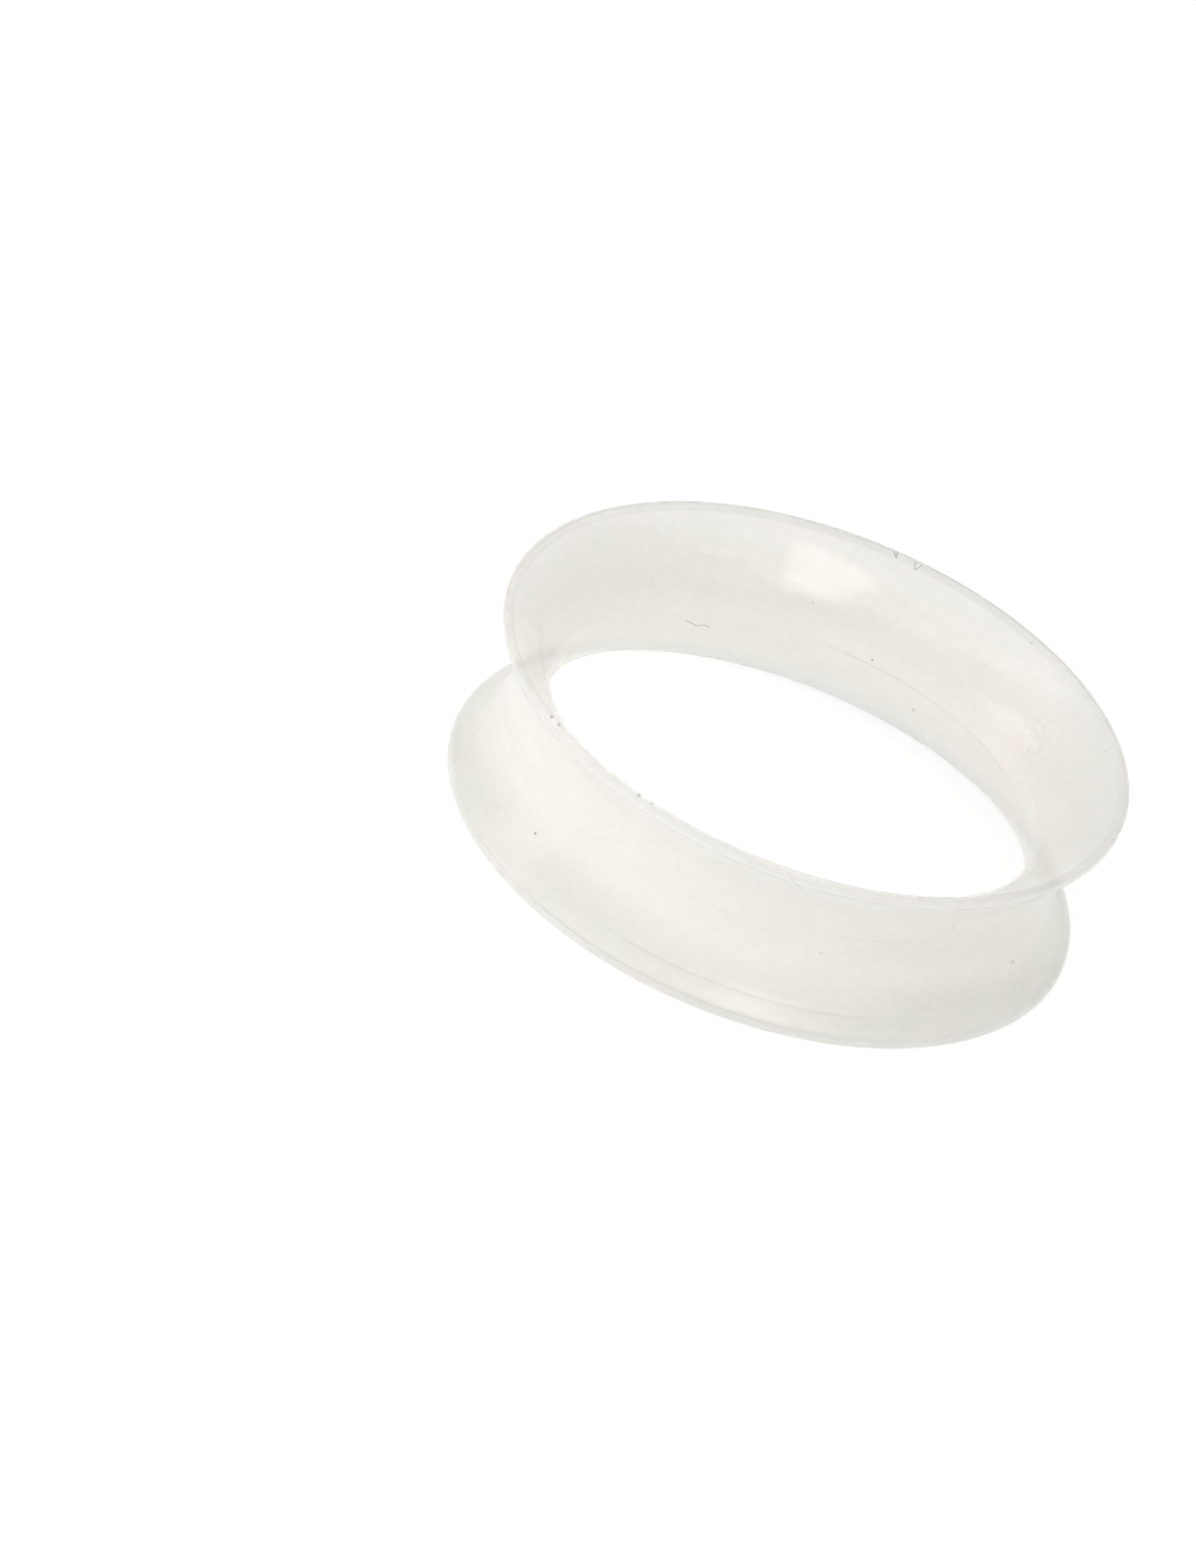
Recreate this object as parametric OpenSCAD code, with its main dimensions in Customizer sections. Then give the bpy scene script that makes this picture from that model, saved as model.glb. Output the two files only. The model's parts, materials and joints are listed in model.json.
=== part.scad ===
// Ear tunnel: a double-flared eyelet for a stretched ear lobe, moulded in one
// piece of soft silicone. It lies flat on its lower rim, with the hole's axis
// along Z and the origin at the middle of the rim's resting face.
// All sizes are in millimetres.

/* [Waist] */
// Gauge: diameter of the outside wall at the waist, where the lobe sits
waist_d = 30; // [12:0.5:60]
// Thickness of the wall at the waist
waist_wall = 2; // [1:0.1:3]
// Height of the straight stretch at the middle of the wall, inside and outside
land_h = 1; // [0.5:0.1:2]

/* [Flares] */
// Overall width from rim to rim
overall_w = 9.5; // [7:0.5:14]
// How far each rim stands out past the waist
flare_out = 1.75; // [1:0.05:3]
// Height of the upright band around the edge of each rim
band_h = 0.5; // [0.2:0.05:1]
// Width of the flat lip at each end of the hole
lip_w = 0.25; // [0.15:0.05:0.8]
// How late the hole opens out: 1 is a straight cone, more keeps the throat narrow for longer
mouth_curve = 1.9; // [1.3:0.1:3]

/* [Smoothness] */
// Steps along each curve of the wall
curve_steps = 18; // [8:1:30]
// Steps around the ring
ring_steps = 180; // [60:12:360]

/* [Hidden] */
silicone_colour = [0.92, 0.92, 0.89];

waist_r = waist_d / 2;
throat_r = waist_r - waist_wall;
rim_r = waist_r + flare_out;
mouth_r = rim_r - lip_w;
half_w = overall_w / 2;
half_land = land_h / 2;

// The outside sweeps from the land to the edge band along one round arc.
sweep_h = half_w - half_land - band_h;
sweep_r = (flare_out * flare_out + sweep_h * sweep_h) / (2 * flare_out);

function outer_r(height) =
    waist_r + sweep_r - sqrt(sweep_r * sweep_r - height * height);

// The hole opens out from the land to the lip along a power curve.
mouth_h = half_w - half_land;

function inner_r(height) =
    throat_r + (mouth_r - throat_r) * pow(height / mouth_h, mouth_curve);

// Heights above the middle of the ring, one half of the wall's section:
// up the inside from the throat to the lip, then down the outside to the waist.
function inside_points() =
    [for (step = [0 : curve_steps])
        let (height = mouth_h * step / curve_steps)
        [inner_r(height), half_land + height]];

function outside_points() =
    [for (step = [curve_steps : -1 : 0])
        let (height = sweep_h * step / curve_steps)
        [outer_r(height), half_land + height]];

function upper_half() = concat(inside_points(), [[rim_r, half_w]], outside_points());

function mirrored(points) =
    [for (index = [len(points) - 1 : -1 : 0]) [points[index][0], -points[index][1]]];

module wall_section() {
    polygon(concat(upper_half(), mirrored(upper_half())));
}

// The whole tunnel is one solid of revolution, thick at the waist and thin at the rims.
module tunnel_body() {
    color(silicone_colour)
        translate([0, 0, half_w])
            rotate_extrude($fn = ring_steps)
                wall_section();
}

tunnel_body();
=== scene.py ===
"""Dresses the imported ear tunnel: one soft moulding of milky translucent silicone, lying on its rim.

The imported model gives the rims, the waist, the throat and the overall width. The wall's section is
worked out again here with rounded lips, swept round the axis with Geometry Nodes, and marked the
way the mould and its cutting tools marked the real one. Lengths whose names end in _mm are
millimetres, and all others are metres. A mark is placed by its height above the floor and by its
angle round the ring in degrees: 0 at the right (+X), 90 at the back and -90 at the front.
"""

import json
import math
from collections import namedtuple

import bpy
from mathutils import Matrix, Vector


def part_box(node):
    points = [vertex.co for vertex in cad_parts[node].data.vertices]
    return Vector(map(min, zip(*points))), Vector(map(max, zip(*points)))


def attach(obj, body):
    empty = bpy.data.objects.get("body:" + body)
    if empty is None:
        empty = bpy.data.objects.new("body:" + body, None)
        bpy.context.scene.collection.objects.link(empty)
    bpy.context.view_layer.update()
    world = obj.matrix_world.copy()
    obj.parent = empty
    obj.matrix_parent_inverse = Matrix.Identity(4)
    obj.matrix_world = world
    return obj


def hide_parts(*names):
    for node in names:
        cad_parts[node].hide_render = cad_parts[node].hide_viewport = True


MM = 0.001

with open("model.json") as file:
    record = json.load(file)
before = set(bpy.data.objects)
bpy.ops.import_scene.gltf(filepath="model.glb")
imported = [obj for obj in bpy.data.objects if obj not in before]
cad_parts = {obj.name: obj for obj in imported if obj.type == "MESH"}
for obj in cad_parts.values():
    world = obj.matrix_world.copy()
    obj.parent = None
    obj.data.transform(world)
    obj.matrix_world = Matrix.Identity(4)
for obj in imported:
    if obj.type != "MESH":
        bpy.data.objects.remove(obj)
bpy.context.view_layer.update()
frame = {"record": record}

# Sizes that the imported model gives
mounts = {mount["name"]: mount for mount in frame["record"]["mounts"]}
low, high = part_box("tunnel_body")
rim_r_mm = (high.x - low.x) / 2 / MM
width_mm = (high.z - low.z) / MM
throat_r_mm = mounts["throat"]["dims"]["r_mm"]
waist_r_mm = mounts["lobe_seat"]["dims"]["r_mm"]
land_mm = mounts["throat"]["dims"]["length_mm"]
middle_mm = width_mm / 2

# Sizes of the rims, as the moulding has them
band_mm = 0.5
lip_mm = 0.25
mouth_curve = 1.9
mouth_round_mm = 0.2
lip_round_mm = 0.18
band_round_mm = 0.7

# Heights of two steps that the cutting of the mould left: outside at the foot, inside near the mouth
tool_step_at_mm = 1.35
mouth_step_at_mm = 7.8
step_w_mm = 0.12

# Steps of the mesh: along half a wall, along half its land, round each small corner, round the ring
half_steps = 36
land_steps = 6
corner_steps = 5
ring_steps = 500

# The arc at the band takes the place of the saddle's points this near, in shares of its radius
band_arc_share = 0.6
# Points nearer than this are merged where the swept wall closes
weld_mm = 0.001

# How the parting and the tool's step come and go: mostly from 0.3 to 1.1 of their size
wander_scale = 160.0
wander_gain = 1.6
wander_shift = -0.1

# The camera, from circles fitted to the rims in the photograph
image_w_px = 1200
image_h_px = 1573
ring_x_px = 791.2
ring_y_px = 773.6
rim_r_px = 330.5
camera_up_deg = 31.6
camera_roll_deg = 21.7
camera_away_in_rims = 40
sensor_mm = 36


# Marks on the wall, and the shade and highlight painted on it

# A stretch of the ring: its middle, its half width, and how much of that fades out at each end
Arc = namedtuple("Arc", "centre_deg half_deg fade_deg")
# A value eased from low to high as a height or another length goes from start to end
Ramp = namedtuple("Ramp", "start_mm end_mm low high")
# A level line on one side of the wall
Line = namedtuple("Line", "side at_mm width_mm arc strength")
# A round spot, and a hair that goes straight from place to place, each an angle and a height
Speck = namedtuple("Speck", "side angle_deg height_mm reach_mm strength")
Hair = namedtuple("Hair", "side places reach_mm strength")

# Fine dark lines. Two are painted shade: the one under the back rim stands for the lower edge of the lip
# band seen through the wall, and the one at the foot's edge band for the dark look of its corner. The
# others are lines that the mould left: across the front, at the parting and at the step.
fine_lines = [
    # Painted shade: the lower edge of the lip band, seen through the wall
    Line("inside", 9.3, 0.04, Arc(100, 75, 40), 0.3),
    Line("outside", 5.42, 0.03, Arc(-62, 11, 6), 0.2),
    Line("inside", middle_mm, 0.03, Arc(62, 38, 18), 0.45),
    Line("outside", tool_step_at_mm, 0.05, Arc(-84, 34, 18), 0.3),
    # Painted shade: the dark look of the corner of the foot's edge band
    Line("outside", band_mm, 0.04, Arc(-110, 46, 20), 0.4),
]

# Painted shade: the dark lines along the edges of the top lip, where the translucent edges look darker,
# show everywhere, and more at the back
rim_line_mm = 0.06
rim_line_least = 0.05
rim_line_more = 0.35
back_rim = Arc(100, 105, 70)

# Two streaks in the turned lines, inside near the mouth, painted lighter as a highlight that the lines
# catch, and the scuffed patch at the right, which is wear
streaks = [
    Line("inside", 7.0, 0.4, Arc(44, 13, 6), 0.3),
    Line("inside", 7.3, 0.35, Arc(97, 13, 5), 0.3),
]
scuff = Speck("inside", 35, 6.8, 1.7, 0.28)

# Painted shade: the foot darkens from the first height down to the second, less so at the front above its
# step, where a painted light lies
foot_shade = Ramp(3.8, 1.4, 0.0, 0.13)
front_foot_shade = Ramp(2.1, 0.8, 0.0, 0.16)
front_foot_light = Line("outside", 3.3, 1.0, Arc(-82, 40, 26), 0.055)

# Painted shade: the right-hand end is darker, and so is the top edge band, more at the front and less at
# the right, where painted light takes some of it away
right_end = Arc(-25, 52, 30)
right_end_shade = Ramp(2.5, 6.5, 0.01, 0.05)
top_band = Ramp(width_mm - band_mm - 0.1, width_mm - band_mm + 0.15, 0.0, 1.0)
top_band_shade = 0.1
front_lip = Arc(-90, 100, 40)
front_lip_shade = 0.08
right_lip = Arc(14, 50, 28)
right_lip_light = 0.09

# The glossy band inside the mouth, plainest at the back
gloss_start = Ramp(6.2, 6.7, 0.0, 1.0)
gloss_end = Ramp(mouth_step_at_mm, mouth_step_at_mm + 0.1, 1.0, 0.0)
gloss_arc = Arc(97, 45, 22)
gloss_least = 0.3
gloss_more = 0.7

# How softly a speck and a hair's stroke end, in shares of their reach
speck_fade = 0.4
stroke_fade = 0.5

specks = [
    # On the back rim
    Speck("inside", 81.9, 9.44, 0.05, 0.7),
    # On the front rim and at its right-hand end
    Speck("lip", -113.6, width_mm, 0.1, 0.7),
    Speck("lip", -136.9, width_mm, 0.1, 0.8),
    Speck("lip", -134.6, width_mm, 0.09, 0.7),
    Speck("lip", -110.8, width_mm, 0.08, 0.5),
    Speck("lip", -8.0, width_mm, 0.08, 0.4),
    # Loose ones on the wall
    Speck("inside", 98.1, 6.66, 0.05, 0.6),
    Speck("inside", 81.0, 5.07, 0.07, 0.6),
    Speck("inside", 67.8, 3.62, 0.12, 0.3),
    Speck("inside", 54.9, 9.3, 0.06, 0.5),
    Speck("outside", -134.6, 2.47, 0.08, 0.8),
    Speck("outside", -71.7, 4.23, 0.06, 0.35),
    Speck("outside", -22.9, 2.76, 0.11, 0.5),
]

hairs = [
    # On the back rim: a tangle and a looped hair
    Hair("inside", [(86.4, 9.46), (85.6, 9.34), (85.8, 9.48)], 0.05, 0.8),
    Hair("inside", [(82.2, 9.44), (81.5, 9.22), (80.8, 9.46)], 0.03, 0.7),
    # On the inside of the wall: a curled hair at the throat and one by the right-hand rim
    Hair("inside", [(126.1, 4.5), (124.6, 4.38), (122.8, 4.21), (121.2, 4.3), (119.6, 4.2)], 0.035, 0.45),
    Hair("inside", [(22.6, 8.93), (22.9, 9.17), (23.4, 9.4)], 0.035, 0.2),
    # On the outside: one just under the front rim and one further right
    Hair("outside", [(-83.5, 9.1), (-82.2, 8.7), (-80.6, 8.3)], 0.04, 0.3),
    Hair("outside", [(-47.0, 6.6), (-46.3, 6.35), (-46.6, 6.1)], 0.04, 0.25),
]


# The finish

thick_wall = (0.88, 0.852, 0.812, 1)
thin_wall = (0.835, 0.843, 0.79, 1)
cool_cloud = (0.98, 1.0, 0.98, 1)
warm_cloud = (1.015, 0.998, 0.992, 1)
# The tone of the mould lines and of the painted shade at the lip's edges
dark_line = (0.22, 0.24, 0.19, 1)
lint_brown = (0.10, 0.09, 0.07, 1)

# How far off the middle the wall starts and stops to look thinner
thinning = Ramp(0.6, 3.6, 0.0, 1.0)
cloud_scale = 330.0
grain_scale = 2600.0
speckle_depth = 0.015

# The turned lines and the scuff's dashes: how many along the wall, and how often they break
turned_lines = {"Lines": 260.0, "Breaks": 26.0}
scuff_dashes = {"Lines": 150.0, "Breaks": 330.0}
# Their values at which the wall looks neither lighter nor darker
plain_lines = 0.42
plain_dashes = 0.52

body_opacity = 0.6
line_opacity = 0.75
lint_opacity = 0.9
line_darkness = 0.7

satin_roughness = Ramp(7.0, mouth_step_at_mm, 0.2, 0.12)
gloss_smoothing = 0.08
outside_roughness = 0.06
grain_relief = 0.15
relief_mm = 0.006
scatter_mm = 4.0


# The stage

# A lamp's azimuth is 0 on the camera's side and 90 at its right, and only a mirrored one is seen in
# the gloss of a surface
Lamp = namedtuple("Lamp", "name azimuth_deg elevation_deg size_m power_w colour mirrored")
lamps = [
    Lamp("front_softbox", 22, 55, (0.19, 0.34), 0.5, (1.0, 0.77, 0.8), True),
    Lamp("left_softbox", -96, 38, (0.28, 0.36), 0.15, (1.0, 0.88, 0.88), True),
    Lamp("low_softbox", -82, 10, (0.22, 0.26), 0.27, (1.0, 0.8, 0.8), True),
    Lamp("overhead_panel", 0, 89, (0.9, 0.9), 1.95, (0.985, 1.0, 0.99), True),
    Lamp("low_fill", -40, 12, (0.5, 0.3), 0.68, (1.0, 0.94, 0.93), False),
]
lamp_away_m = 0.5
room_tone = (0.97, 1.0, 0.97, 1)
room_light = 0.29
floor_half_m = 3.0
floor_glow = 0.82
floor_brightening = Ramp(5, -25, 0.7 / floor_glow, 1.0)


# The wall's section

def mouth_r_mm(height_mm):
    """Radius of the hole at a height above its straight land."""
    flare_h_mm = middle_mm - land_mm / 2
    opening_mm = rim_r_mm - lip_mm - throat_r_mm
    return throat_r_mm + opening_mm * (height_mm / flare_h_mm) ** mouth_curve


def waist_sweep_r_mm(height_mm):
    """Radius of the outside wall at a height above its straight land."""
    sweep_h_mm = middle_mm - land_mm / 2 - band_mm
    flare_mm = rim_r_mm - waist_r_mm
    arc_r_mm = (flare_mm ** 2 + sweep_h_mm ** 2) / (2 * flare_mm)
    return waist_r_mm + arc_r_mm - math.sqrt(arc_r_mm ** 2 - height_mm ** 2)


def eased(count, power=1.5):
    """Shares from 0 to 1 that crowd together near 0, where the parting line runs."""
    return [(step / count) ** power for step in range(count + 1)]


def rounded(before, corner, after, radius):
    """Points of an arc that takes the place of a corner."""
    to_before = (before - corner).normalized()
    to_after = (after - corner).normalized()
    half_angle = to_before.angle(to_after) / 2
    centre = corner + (to_before + to_after).normalized() * radius / math.sin(half_angle)
    start = corner + to_before * radius / math.tan(half_angle) - centre
    end = corner + to_after * radius / math.tan(half_angle) - centre
    sweep = math.pi - 2 * half_angle
    arc = []
    for step in range(corner_steps + 1):
        share = step / corner_steps
        spoke = math.sin((1 - share) * sweep) * start + math.sin(share * sweep) * end
        arc.append(centre + spoke / math.sin(sweep))
    return arc


def half_section():
    """Radius and height above the middle: up the hole's wall, over the lip, down the outside."""
    straight_mm = land_mm / 2
    inner_h_mm = middle_mm - straight_mm
    outer_h_mm = inner_h_mm - band_mm
    throat = [Vector((throat_r_mm, straight_mm * share)) for share in eased(land_steps)[:-1]]
    mouth = [Vector((mouth_r_mm(inner_h_mm * share), straight_mm + inner_h_mm * share))
             for share in eased(half_steps)]
    saddle = [Vector((waist_sweep_r_mm(outer_h_mm * share), straight_mm + outer_h_mm * share))
              for share in reversed(eased(half_steps))]
    waist = [Vector((waist_r_mm, straight_mm * share)) for share in reversed(eased(land_steps)[:-1])]
    mouth_corner = mouth.pop()
    lip_corner = Vector((rim_r_mm, middle_mm))
    band_corner = saddle.pop(0)
    band_arc_mm = band_round_mm * band_arc_share
    saddle = [point for point in saddle if (point - band_corner).length > band_arc_mm]
    lip = rounded(mouth[-1], mouth_corner, lip_corner, mouth_round_mm)
    lip += rounded(mouth_corner, lip_corner, band_corner, lip_round_mm)
    lip += rounded(lip_corner, band_corner, saddle[0], band_round_mm)
    return throat + mouth[:-1] + lip + saddle + waist


def wall_section():
    """The closed outline of the wall as radius and height above the floor, in metres."""
    upper = half_section()
    lower = [Vector((point.x, -point.y)) for point in reversed(upper[1:-1])]
    return [Vector((point.x, 0, point.y + middle_mm)) * MM for point in upper + lower]


def wall_point(side, angle_deg, height_mm):
    """A point of the wall in metres, on its inside, its outside or the top lip."""
    off_land_mm = max(abs(height_mm - middle_mm) - land_mm / 2, 0)
    radius_mm = {"inside": mouth_r_mm(off_land_mm),
                 "outside": waist_sweep_r_mm(min(off_land_mm, middle_mm - land_mm / 2 - band_mm)),
                 "lip": rim_r_mm - lip_mm / 2}[side]
    angle = math.radians(angle_deg)
    return Vector((radius_mm * math.cos(angle), radius_mm * math.sin(angle), height_mm)) * MM


# Nodes that the wall's tree and the materials share

def add(tree, kind, inputs=None, **settings):
    """A new node with its settings made and its inputs linked or set, by name or by number."""
    node = tree.nodes.new(kind)
    for name, value in settings.items():
        setattr(node, name, value)
    for key, value in (inputs or {}).items():
        socket = node.inputs[key]
        if isinstance(value, bpy.types.NodeSocket):
            tree.links.new(value, socket)
        else:
            socket.default_value = value
    return node


def open_tree(name, kind, inputs, outputs):
    """An empty node tree with named sockets. Returns it with its input and output nodes."""
    tree = bpy.data.node_groups.new(name, kind)
    for socket_name, socket_type in inputs:
        tree.interface.new_socket(socket_name, in_out="INPUT", socket_type=socket_type)
    for socket_name, socket_type in outputs:
        tree.interface.new_socket(socket_name, in_out="OUTPUT", socket_type=socket_type)
    return tree, tree.nodes.new("NodeGroupInput"), tree.nodes.new("NodeGroupOutput")


def maths(tree, operation, *values):
    """A Math node's result."""
    return add(tree, "ShaderNodeMath", dict(enumerate(values)), operation=operation).outputs[0]


def chained(tree, operation, values):
    """The values put through one Math operation, each with the result so far."""
    made, *others = values
    for value in others:
        made = maths(tree, operation, made, value)
    return made


def product(tree, *values):
    """The values multiplied together."""
    return chained(tree, "MULTIPLY", values)


def total(tree, *values):
    """The values added up."""
    return chained(tree, "ADD", values)


def highest(tree, *values):
    """The greatest of the values."""
    return chained(tree, "MAXIMUM", values)


def less(tree, value, taken):
    """A value with another taken from it."""
    return maths(tree, "SUBTRACT", value, taken)


def between(tree, value, start, end, low, high):
    """A value eased from low to high as it goes from start to end."""
    return add(tree, "ShaderNodeMapRange", {"Value": value, "From Min": start, "From Max": end,
                                            "To Min": low, "To Max": high},
               interpolation_type="SMOOTHSTEP").outputs[0]


def bump_of(tree, height, centre, width):
    """1 where height equals centre, falling away to 0 over a few widths."""
    away = maths(tree, "DIVIDE", less(tree, height, centre), width)
    return maths(tree, "EXPONENT", product(tree, away, away, -1.0))


def noise(tree, where, scale, detail):
    """Soft random values about 0.5, with about as many swells to each unit of length as scale says."""
    return add(tree, "ShaderNodeTexNoise", {"Vector": where, "Scale": scale, "Detail": detail}).outputs[0]


def vector_of(tree, operation, *values):
    """The vector that a Vector Math node gives."""
    made = add(tree, "ShaderNodeVectorMath", dict(enumerate(values)), operation=operation)
    return made.outputs["Vector"]


def measure_of(tree, operation, *values):
    """The number that a Vector Math node gives."""
    made = add(tree, "ShaderNodeVectorMath", dict(enumerate(values)), operation=operation)
    return made.outputs["Value"]


def scaled(tree, vector, times):
    """A vector or colour times a number."""
    made = add(tree, "ShaderNodeVectorMath", {0: vector, "Scale": times}, operation="SCALE")
    return made.outputs["Vector"]


def parts_of(tree, vector):
    """The X, Y and Z outputs of a vector."""
    return add(tree, "ShaderNodeSeparateXYZ", {"Vector": vector}).outputs


def vector_from(tree, **parts):
    """A vector from its X, Y and Z, each 0 where it isn't given."""
    return add(tree, "ShaderNodeCombineXYZ", parts).outputs[0]


def from_axis(tree, where):
    """How far a point is from the axis of the ring."""
    parts = parts_of(tree, where)
    return measure_of(tree, "LENGTH", vector_from(tree, X=parts["X"], Y=parts["Y"]))


# The wall's Geometry Nodes

def section_value(tree, section, point, value, data_type):
    """A value of the section's wire at one of its points."""
    return add(tree, "GeometryNodeSampleIndex", {"Geometry": section, "Value": value, "Index": point},
               data_type=data_type, domain="POINT").outputs[0]


def swept_section(tree, size):
    """The section swept round the Z axis into a closed wall, which gets its wall_map.

    The map is the turn round the ring and the way along the outline, each from 0 to 1.
    """
    section = size["Section"]
    rows = total(tree, size["Section Points"], 1.0)
    columns = total(tree, size["Ring Steps"], 1.0)
    grid = add(tree, "GeometryNodeMeshGrid", {"Vertices X": columns, "Vertices Y": rows}).outputs["Mesh"]

    # The grid's points are numbered column by column, and each column is one copy of the section
    index = add(tree, "GeometryNodeInputIndex").outputs[0]
    column = maths(tree, "FLOOR", maths(tree, "DIVIDE", total(tree, index, 0.5), rows))
    row = less(tree, index, product(tree, column, rows))
    point = maths(tree, "MODULO", row, size["Section Points"])
    turn = maths(tree, "DIVIDE", column, size["Ring Steps"])
    place = add(tree, "GeometryNodeInputPosition").outputs[0]
    swept = add(tree, "ShaderNodeVectorRotate", {
        "Vector": section_value(tree, section, point, place, "FLOAT_VECTOR"),
        "Angle": product(tree, turn, math.tau)}, rotation_type="Z_AXIS").outputs[0]

    # The last row lies on the first one, and its way along the outline is 1 instead of 0
    share = add(tree, "GeometryNodeInputNamedAttribute", {"Name": "along"}, data_type="FLOAT").outputs[0]
    along = section_value(tree, section, point, share, "FLOAT")
    last = add(tree, "FunctionNodeCompare", {"A": row, "B": size["Section Points"]},
               data_type="FLOAT", operation="EQUAL").outputs[0]
    # Worked out at the points, since the index of a corner is another number
    wall_map = add(tree, "GeometryNodeFieldOnDomain", {
        "Value": vector_from(tree, X=turn, Y=highest(tree, along, last))},
        data_type="FLOAT_VECTOR", domain="POINT").outputs[0]
    mapped = add(tree, "GeometryNodeStoreNamedAttribute",
                 {"Geometry": grid, "Name": "wall_map", "Value": wall_map},
                 data_type="FLOAT2", domain="CORNER").outputs[0]
    ring = add(tree, "GeometryNodeSetPosition", {"Geometry": mapped, "Position": swept}).outputs[0]
    return add(tree, "GeometryNodeMergeByDistance",
               {"Geometry": ring, "Distance": size["Weld Distance"]}).outputs[0]


def mould_relief(tree, size):
    """How far the marks of the mould raise the wall, fading out before its edges."""
    place = add(tree, "GeometryNodeInputPosition").outputs[0]
    height = parts_of(tree, place)["Z"]
    radius = from_axis(tree, place)
    middle = size["Middle Height"]
    # Both steps are where the inside of the wall is narrower than the waist
    outside = maths(tree, "GREATER_THAN", radius, size["Waist Radius"])
    inside = less(tree, 1.0, outside)
    wander = noise(tree, place, wander_scale, detail=3.0)
    uneven = total(tree, product(tree, wander, wander_gain), wander_shift)
    parting = product(tree, size["Parting Height"], uneven,
                      bump_of(tree, height, middle, size["Parting Width"]))
    tool_step = product(tree, size["Tool Step Depth"], outside, uneven,
                        bump_of(tree, height, size["Tool Step Height"], size["Tool Step Width"]))
    mouth_step = product(tree, size["Mouth Step Depth"], inside,
                         bump_of(tree, height, size["Mouth Step Height"], size["Mouth Step Width"]))
    ripple = product(tree, size["Ripple Depth"],
                     less(tree, noise(tree, place, size["Ripple Scale"], detail=1.0), 0.5))
    from_end = less(tree, middle, maths(tree, "ABSOLUTE", less(tree, height, middle)))
    from_rim = less(tree, size["Rim Radius"], radius)
    free = between(tree, maths(tree, "MINIMUM", from_end, from_rim), 0.0, size["Edge Clearance"], 0.0, 1.0)
    return product(tree, free, less(tree, total(tree, parting, ripple), total(tree, tool_step, mouth_step)))


def swept_wall_tree():
    """Sweeps the section that it is given round the Z axis, then adds the marks of the mould."""
    numbers = ("Middle Height", "Rim Radius", "Waist Radius", "Parting Height", "Parting Width",
               "Tool Step Height", "Tool Step Depth", "Tool Step Width",
               "Mouth Step Height", "Mouth Step Depth", "Mouth Step Width",
               "Ripple Depth", "Ripple Scale", "Edge Clearance", "Weld Distance")
    tree, given, made = open_tree(
        "swept_wall", "GeometryNodeTree",
        [("Section", "NodeSocketGeometry"), ("Section Points", "NodeSocketInt"),
         ("Ring Steps", "NodeSocketInt"), ("Material", "NodeSocketMaterial")]
        + [(name, "NodeSocketFloat") for name in numbers],
        [("Wall", "NodeSocketGeometry")])
    size = given.outputs
    normal = add(tree, "GeometryNodeInputNormal").outputs[0]
    marked = add(tree, "GeometryNodeSetPosition", {
        "Geometry": swept_section(tree, size),
        "Offset": scaled(tree, normal, mould_relief(tree, size))})
    smooth = add(tree, "GeometryNodeSetShadeSmooth", {"Geometry": marked.outputs[0]})
    real = add(tree, "GeometryNodeRealizeInstances", {"Geometry": smooth.outputs[0]})
    painted = add(tree, "GeometryNodeSetMaterial",
                  {"Geometry": real.outputs[0], "Material": size["Material"]})
    tree.links.new(painted.outputs[0], made.inputs["Wall"])
    return tree


def section_mesh(points):
    """The section as a wire loop whose points know how far along the outline they lie."""
    count = len(points)
    edges = [(index, (index + 1) % count) for index in range(count)]
    lengths = [(points[end] - points[start]).length for start, end in edges]
    whole = sum(lengths)
    mesh = bpy.data.meshes.new("wall_section")
    mesh.from_pydata(points, edges, [])
    along = mesh.attributes.new("along", "FLOAT", "POINT")
    passed = 0.0
    for index, length in enumerate(lengths):
        along.data[index].value = passed / whole
        passed += length
    return mesh


def set_inputs(modifier, values):
    """Sets a Geometry Nodes modifier's inputs, each found by its socket's identifier."""
    for item in modifier.node_group.interface.items_tree:
        if item.item_type == "SOCKET" and item.in_out == "INPUT" and item.name in values:
            modifier[item.identifier] = values[item.name]


def tunnel(material):
    """The whole moulding as one plain mesh."""
    points = wall_section()
    maker = bpy.data.objects.new("wall_maker", section_mesh(points))
    bpy.context.scene.collection.objects.link(maker)
    sweep = maker.modifiers.new("swept_wall", "NODES")
    sweep.node_group = swept_wall_tree()
    set_inputs(sweep, {
        "Section Points": len(points),
        "Ring Steps": ring_steps,
        "Material": material,
        "Middle Height": middle_mm * MM,
        "Rim Radius": rim_r_mm * MM,
        "Waist Radius": waist_r_mm * MM,
        "Parting Height": 0.01 * MM,
        "Parting Width": 0.05 * MM,
        "Tool Step Height": tool_step_at_mm * MM,
        "Tool Step Depth": 0.035 * MM,
        "Tool Step Width": step_w_mm * MM,
        "Mouth Step Height": mouth_step_at_mm * MM,
        "Mouth Step Depth": 0.02 * MM,
        "Mouth Step Width": step_w_mm * MM,
        "Ripple Depth": 0.1 * MM,
        "Ripple Scale": 130.0,
        "Edge Clearance": 1.2 * MM,
        "Weld Distance": weld_mm * MM,
    })
    bpy.context.view_layer.update()
    ready = maker.evaluated_get(bpy.context.evaluated_depsgraph_get())
    body = bpy.data.objects.new("silicone_tunnel", bpy.data.meshes.new_from_object(ready))
    bpy.context.scene.collection.objects.link(body)
    bpy.data.objects.remove(maker)
    return body


# Masks that the silicone's marks, and the shade and highlight painted on it, are made of

# A point of the wall with its height and angle, and 1 or 0 for each side that it may be on
Wall = namedtuple("Wall", "where height angle inside outside")


def ramp(tree, length, change):
    """The value of a ramp at a length."""
    return between(tree, length, change.start_mm * MM, change.end_mm * MM, change.low, change.high)


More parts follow.
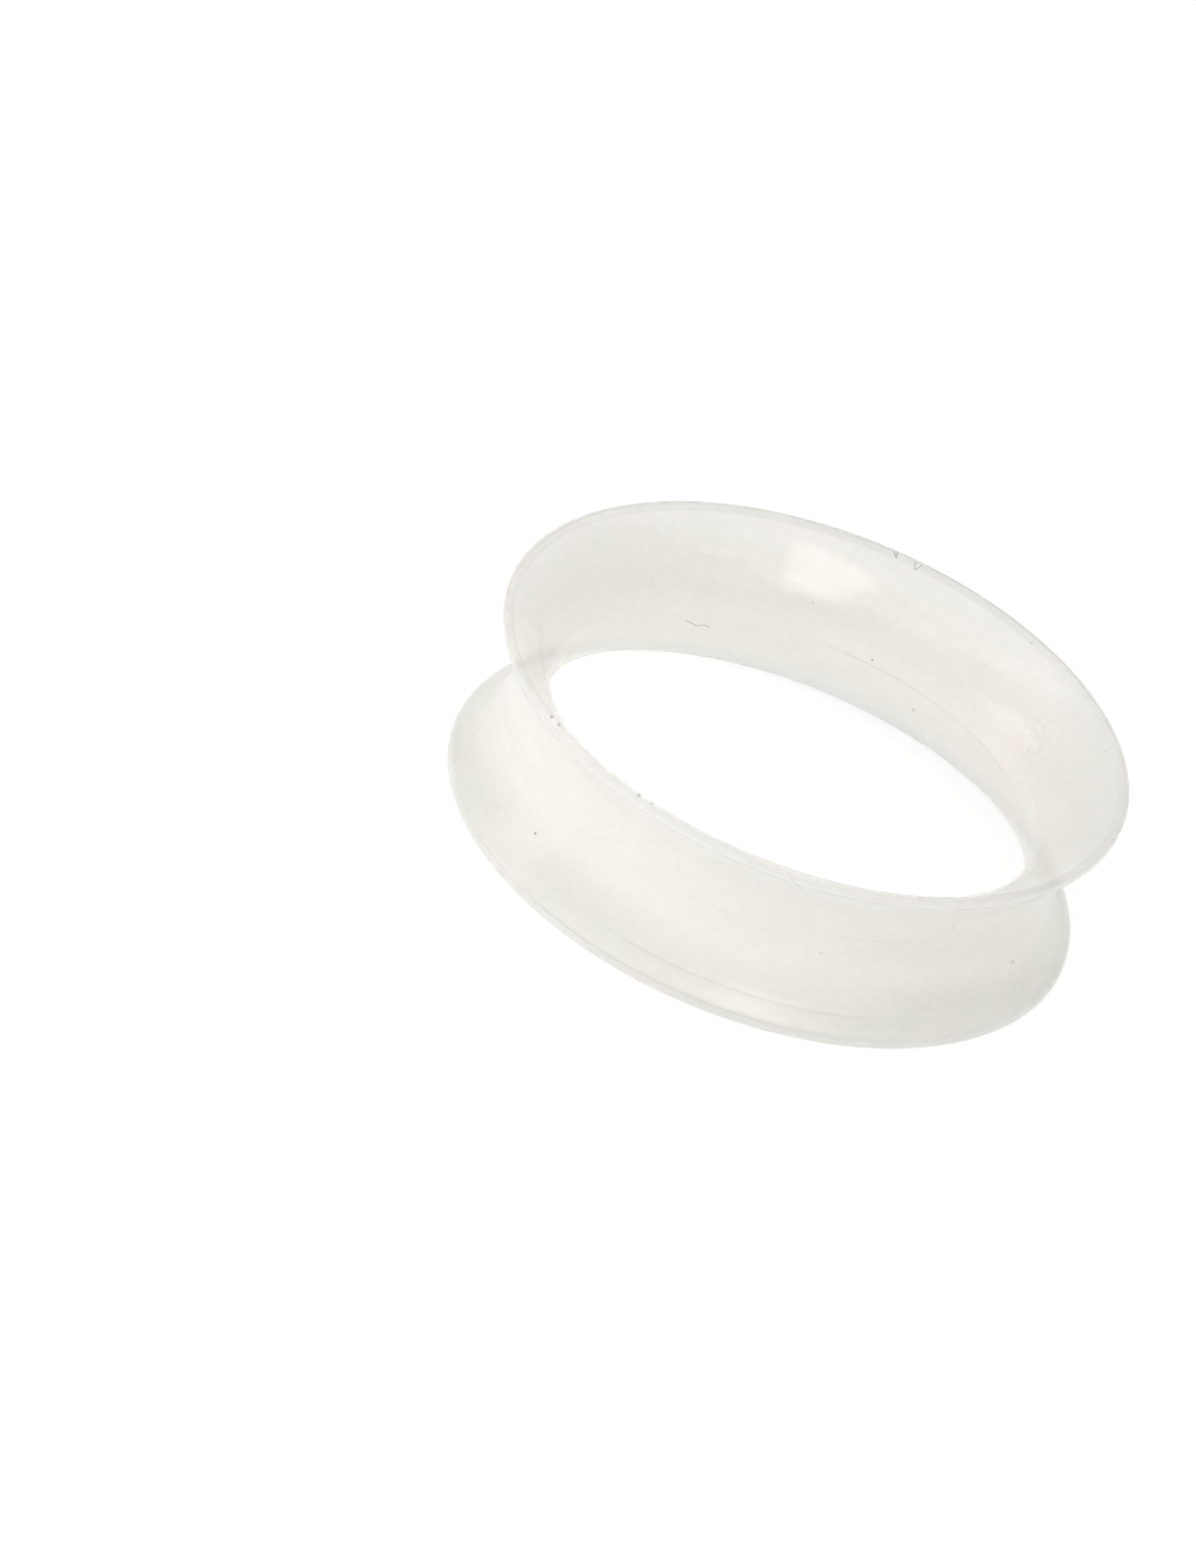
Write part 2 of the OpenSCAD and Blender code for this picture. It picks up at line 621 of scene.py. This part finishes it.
def window(tree, angle, arc):
    """1 over an arc of the ring, fading to 0 at its ends."""
    away = maths(tree, "ABSOLUTE", less(tree, angle, arc.centre_deg))
    return between(tree, away, arc.half_deg - arc.fade_deg, arc.half_deg, 1.0, 0.0)


def level_line(tree, wall, line):
    """The mask of a level line on one side of the wall, along its arc of the ring."""
    side = wall.inside if line.side == "inside" else wall.outside
    return product(tree, line.strength, window(tree, wall.angle, line.arc), side,
                   bump_of(tree, wall.height, line.at_mm * MM, line.width_mm * MM))


def near_mask(tree, away, reach, fade):
    """1 within reach, falling to 0 over that share of it on either side."""
    return add(tree, "ShaderNodeMapRange", {
        "Value": away, "From Min": product(tree, reach, 1.0 - fade),
        "From Max": product(tree, reach, 1.0 + fade), "To Min": 1.0, "To Max": 0.0}).outputs[0]


def speck_group():
    """A round spot: 1 within its reach of a centre, fading to 0 just outside it."""
    tree, given, made = open_tree(
        "speck", "ShaderNodeTree",
        [("Where", "NodeSocketVector"), ("Centre", "NodeSocketVector"), ("Reach", "NodeSocketFloat")],
        [("Mask", "NodeSocketFloat")])
    size = given.outputs
    away = measure_of(tree, "DISTANCE", size["Where"], size["Centre"])
    tree.links.new(near_mask(tree, away, size["Reach"], speck_fade), made.inputs["Mask"])
    return tree


def stroke_group():
    """A short straight stroke: 1 within its reach of the line from start to end."""
    tree, given, made = open_tree(
        "stroke", "ShaderNodeTree",
        [("Where", "NodeSocketVector"), ("Start", "NodeSocketVector"), ("End", "NodeSocketVector"),
         ("Reach", "NodeSocketFloat")],
        [("Mask", "NodeSocketFloat")])
    size = given.outputs
    run = vector_of(tree, "SUBTRACT", size["End"], size["Start"])
    step = vector_of(tree, "SUBTRACT", size["Where"], size["Start"])
    along = measure_of(tree, "DOT_PRODUCT", step, run)
    whole = measure_of(tree, "DOT_PRODUCT", run, run)
    share = add(tree, "ShaderNodeClamp", {"Value": maths(tree, "DIVIDE", along, whole)}).outputs[0]
    away = measure_of(tree, "DISTANCE", step, scaled(tree, run, share))
    tree.links.new(near_mask(tree, away, size["Reach"], stroke_fade), made.inputs["Mask"])
    return tree


def turned_lines_group():
    """Fine broken lines round the wall, as the turned mould printed them, as heights about 0.5."""
    tree, given, made = open_tree(
        "turned_lines", "ShaderNodeTree",
        [("Wall Map", "NodeSocketVector"), ("Lines", "NodeSocketFloat"), ("Breaks", "NodeSocketFloat")],
        [("Height", "NodeSocketFloat")])
    size = given.outputs
    parts = parts_of(tree, size["Wall Map"])
    turn = product(tree, parts["X"], math.tau)
    spread = maths(tree, "DIVIDE", size["Breaks"], math.tau)
    place = vector_from(tree, X=product(tree, maths(tree, "COSINE", turn), spread),
                        Y=product(tree, maths(tree, "SINE", turn), spread),
                        Z=product(tree, parts["Y"], size["Lines"]))
    tree.links.new(noise(tree, place, scale=1.0, detail=1.0), made.inputs["Height"])
    return tree


def wall_of(tree, wall_map):
    """What the marks on the silicone are placed by."""
    where = add(tree, "ShaderNodeTexCoord").outputs["Object"]
    parts = parts_of(tree, where)
    angle = product(tree, maths(tree, "ARCTAN2", parts["Y"], parts["X"]), 180 / math.pi)
    # The map starts at the throat, so the outside is about the middle half of the way round
    outside = maths(tree, "COMPARE", parts_of(tree, wall_map)["Y"], 0.5, 0.25)
    return Wall(where, parts["Z"], angle, less(tree, 1.0, outside), outside)


def spot(tree, group, where, centre, reach_mm):
    """The mask of one round spot."""
    return add(tree, "ShaderNodeGroup", {"Where": where, "Centre": centre, "Reach": reach_mm * MM},
               node_tree=group).outputs[0]


def lint(tree, wall, speck):
    """A mask of the specks and short hairs that cling to the silicone."""
    stroke = stroke_group()
    masks = []
    for mark in specks:
        centre = wall_point(mark.side, mark.angle_deg, mark.height_mm)
        masks.append(product(tree, spot(tree, speck, wall.where, centre, mark.reach_mm), mark.strength))
    for hair in hairs:
        for before, after in zip(hair.places, hair.places[1:]):
            made = add(tree, "ShaderNodeGroup", {
                "Where": wall.where, "Start": wall_point(hair.side, *before),
                "End": wall_point(hair.side, *after), "Reach": hair.reach_mm * MM}, node_tree=stroke)
            masks.append(product(tree, made.outputs[0], hair.strength))
    return highest(tree, *masks)


def rim_edge_shade(tree, wall, speck):
    """A mask of painted shade: fine dark lines at both edges of the top lip and at the lower end of its
    band.
    """
    here = vector_from(tree, X=from_axis(tree, wall.where), Y=wall.height)
    edges_mm = ((rim_r_mm - lip_mm, width_mm), (rim_r_mm, width_mm - band_mm), (rim_r_mm, width_mm))
    edges = highest(tree, *[spot(tree, speck, here, Vector((*edge, 0)) * MM, rim_line_mm)
                            for edge in edges_mm])
    return product(tree, edges, total(
        tree, rim_line_least, product(tree, window(tree, wall.angle, back_rim), rim_line_more)))


def worn_skin_and_glints(tree, wall, speck, lines, dashes):
    """How much lighter or darker the streaks look, a painted highlight along the turned lines, and the
    scuffed patch by the right-hand rim.
    """
    streaked = product(tree, total(tree, *[level_line(tree, wall, line) for line in streaks]),
                       less(tree, lines, plain_lines))
    patch = spot(tree, speck, wall.where, wall_point(scuff.side, scuff.angle_deg, scuff.height_mm),
                 scuff.reach_mm)
    rubbed = product(tree, patch, less(tree, dashes, plain_dashes), scuff.strength)
    return total(tree, streaked, rubbed)


def painted_shade_and_light(tree, wall):
    """Painted shade and light: how much darker the outside looks at its foot, its right-hand end and its
    top edge band.
    """
    front = window(tree, wall.angle, front_foot_light.arc)
    lighter = product(tree, front_foot_light.strength, bump_of(
        tree, wall.height, front_foot_light.at_mm * MM, front_foot_light.width_mm * MM))
    front_foot = product(tree, less(tree, ramp(tree, wall.height, front_foot_shade), lighter), front)
    other_foot = product(tree, ramp(tree, wall.height, foot_shade), less(tree, 1.0, front))
    end = product(tree, window(tree, wall.angle, right_end), ramp(tree, wall.height, right_end_shade))
    lip_shade = total(tree, top_band_shade,
                      product(tree, window(tree, wall.angle, front_lip), front_lip_shade),
                      product(tree, window(tree, wall.angle, right_lip), -right_lip_light))
    lip = product(tree, ramp(tree, wall.height, top_band), lip_shade)
    return product(tree, wall.outside, total(tree, front_foot, other_foot, end, lip))


# Materials

def mixed(tree, share, first, second):
    """A colour that goes from the first to the second as share goes from 0 to 1."""
    # A Mix node has sockets of the same names for numbers and vectors too, so these are numbered
    first_colour, second_colour, result_colour = 6, 7, 2
    return add(tree, "ShaderNodeMix", {"Factor": share, first_colour: first, second_colour: second},
               data_type="RGBA").outputs[result_colour]


def clouded_colour(tree, wall):
    """Milky at the thick middle and greyer towards the thin rims, with faint clouds."""
    off_middle = maths(tree, "ABSOLUTE", less(tree, wall.height, middle_mm * MM))
    depth = mixed(tree, ramp(tree, off_middle, thinning), thick_wall, thin_wall)
    cloud = noise(tree, wall.where, cloud_scale, detail=2.0)
    warmth = between(tree, cloud, start=0.35, end=0.65, low=0.0, high=1.0)
    tint = mixed(tree, warmth, cool_cloud, warm_cloud)
    return vector_of(tree, "MULTIPLY", depth, tint)


def milky_silicone():
    """Cloudy soft silicone with a satin skin, milkier where the wall is thick, with painted shade and
    highlight.
    """
    material = bpy.data.materials.new("milky_silicone")
    material.use_nodes = True
    tree = material.node_tree
    shader = tree.nodes["Principled BSDF"]
    speck = speck_group()
    wall_map = add(tree, "ShaderNodeUVMap", uv_map="wall_map").outputs[0]
    wall = wall_of(tree, wall_map)
    turned = turned_lines_group()
    lines = add(tree, "ShaderNodeGroup", {"Wall Map": wall_map, **turned_lines},
                node_tree=turned).outputs[0]
    dashes = add(tree, "ShaderNodeGroup", {"Wall Map": wall_map, **scuff_dashes},
                 node_tree=turned).outputs[0]
    grain = noise(tree, wall.where, grain_scale, detail=0.0)

    # Colour and opacity: the cloudy wall, a little lighter or darker in places, with painted highlight and
    # shade, then lines with painted edge shade, and lint
    speckle = add(tree, "ShaderNodeMapRange", {
        "Value": grain, "From Min": 0.3, "From Max": 0.7,
        "To Min": 1 - speckle_depth, "To Max": 1 + speckle_depth}).outputs[0]
    light = less(tree, total(tree, speckle, worn_skin_and_glints(tree, wall, speck, lines, dashes)),
                 painted_shade_and_light(tree, wall))
    body_colour = scaled(tree, clouded_colour(tree, wall), light)
    # The mould's lines together with the painted shade along the lip's edges
    lines_and_edge_shade = highest(tree, rim_edge_shade(tree, wall, speck),
                          *[level_line(tree, wall, line) for line in fine_lines])
    dirt = lint(tree, wall, speck)
    lined = mixed(tree, product(tree, lines_and_edge_shade, line_darkness), body_colour, dark_line)
    tree.links.new(mixed(tree, dirt, lined, lint_brown), shader.inputs["Base Color"])
    opacity = highest(tree, body_opacity, product(tree, lines_and_edge_shade, line_opacity),
                      product(tree, dirt, lint_opacity))
    tree.links.new(opacity, shader.inputs["Alpha"])

    # Skin: satin grain, glossier with the lines of the turned mould where the mouth begins to flare
    glossy = product(tree, ramp(tree, wall.height, gloss_start), ramp(tree, wall.height, gloss_end),
                     wall.inside, total(tree, gloss_least, product(
                         tree, window(tree, wall.angle, gloss_arc), gloss_more)))
    satin = ramp(tree, wall.height, satin_roughness)
    rough = total(tree, less(tree, satin, product(tree, glossy, gloss_smoothing)),
                  product(tree, wall.outside, outside_roughness))
    tree.links.new(rough, shader.inputs["Roughness"])
    relief = total(tree, product(tree, grain, grain_relief), product(tree, lines, glossy))
    bump = add(tree, "ShaderNodeBump", {"Strength": 1.0, "Distance": relief_mm * MM, "Height": relief})
    tree.links.new(bump.outputs[0], shader.inputs["Normal"])
    shader.inputs["IOR"].default_value = 1.5
    shader.inputs["Specular IOR Level"].default_value = 1.0
    shader.inputs["Subsurface Weight"].default_value = 1.0
    shader.inputs["Subsurface Radius"].default_value = (1.0, 0.95, 0.85)
    shader.inputs["Subsurface Scale"].default_value = scatter_mm * MM
    return material


def pale_floor():
    """A plain white light table, a little brighter on the left, which keeps the shadows faint."""
    material = bpy.data.materials.new("pale_floor")
    material.use_nodes = True
    tree = material.node_tree
    shader = tree.nodes["Principled BSDF"]
    across = parts_of(tree, add(tree, "ShaderNodeTexCoord").outputs["Object"])["X"]
    tree.links.new(ramp(tree, across, floor_brightening), shader.inputs["Emission Color"])
    shader.inputs["Emission Strength"].default_value = floor_glow
    shader.inputs["Base Color"].default_value = (0.4, 0.4, 0.4, 1)
    shader.inputs["Roughness"].default_value = 0.9
    shader.inputs["Specular IOR Level"].default_value = 0.1
    return material


# The floor, the camera and the lamps

def lay_floor():
    """A wide plain floor that the tunnel lies on."""
    half = floor_half_m
    mesh = bpy.data.meshes.new("floor")
    mesh.from_pydata([(-half, -half, 0), (half, -half, 0), (half, half, 0), (-half, half, 0)],
                     [], [(0, 1, 2, 3)])
    mesh.materials.append(pale_floor())
    floor = bpy.data.objects.new("floor", mesh)
    bpy.context.scene.collection.objects.link(floor)


def set_camera():
    """Puts the ring where the photograph has it, at the same size, height and roll."""
    up = math.radians(camera_up_deg)
    roll = math.radians(camera_roll_deg)
    focal_px = rim_r_px * camera_away_in_rims
    # The row frame's axes as the camera sees them: right, down and forward
    axis = Vector((math.sin(roll) * math.cos(up), -math.cos(roll) * math.cos(up), -math.sin(up)))
    forward = Vector((0, 0, 1))
    ahead = (forward - forward.dot(axis) * axis).normalized()
    sideways = ahead.cross(axis)
    to_row = Matrix((sideways, ahead, axis))
    seen_at = Vector(((ring_x_px - image_w_px / 2) / focal_px,
                      (ring_y_px - image_h_px / 2) / focal_px, 1))
    away = rim_r_mm * MM * camera_away_in_rims
    place = Vector((0, 0, middle_mm * MM)) - to_row @ seen_at * away
    right = to_row @ Vector((1, 0, 0))
    upward = to_row @ Vector((0, -1, 0))
    backward = to_row @ Vector((0, 0, -1))
    lens = bpy.data.cameras.new("camera")
    lens.sensor_width = sensor_mm
    lens.lens = focal_px * sensor_mm / max(image_w_px, image_h_px)
    lens.clip_start = away / 10
    lens.clip_end = away * 10
    camera = bpy.data.objects.new("camera", lens)
    turned = Matrix((right, upward, backward)).transposed().to_4x4()
    camera.matrix_world = Matrix.Translation(place) @ turned
    bpy.context.scene.collection.objects.link(camera)
    bpy.context.scene.camera = camera


def hang_lamp(lamp):
    """A soft rectangular light that faces the tunnel."""
    azimuth = math.radians(lamp.azimuth_deg)
    elevation = math.radians(lamp.elevation_deg)
    out = Vector((math.sin(azimuth) * math.cos(elevation), -math.cos(azimuth) * math.cos(elevation),
                  math.sin(elevation)))
    panel = bpy.data.lights.new(lamp.name, "AREA")
    panel.shape = "RECTANGLE"
    panel.size, panel.size_y = lamp.size_m
    panel.energy = lamp.power_w
    panel.color = lamp.colour
    light = bpy.data.objects.new(lamp.name, panel)
    light.location = Vector((0, 0, middle_mm * MM)) + out * lamp_away_m
    light.rotation_euler = out.to_track_quat("Z", "Y").to_euler()
    light.visible_glossy = lamp.mirrored
    bpy.context.scene.collection.objects.link(light)


def light_stage():
    """Three softboxes, a wide panel overhead and a low fill that no surface mirrors, in a dim room."""
    world = bpy.data.worlds.new("white_room")
    world.use_nodes = True
    background = world.node_tree.nodes["Background"]
    background.inputs["Color"].default_value = room_tone
    background.inputs["Strength"].default_value = room_light
    bpy.context.scene.world = world
    for lamp in lamps:
        hang_lamp(lamp)
    bpy.context.scene.view_settings.view_transform = "Standard"


set_camera()
light_stage()
lay_floor()
body = tunnel(milky_silicone())
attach(body, "root")
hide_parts("tunnel_body")
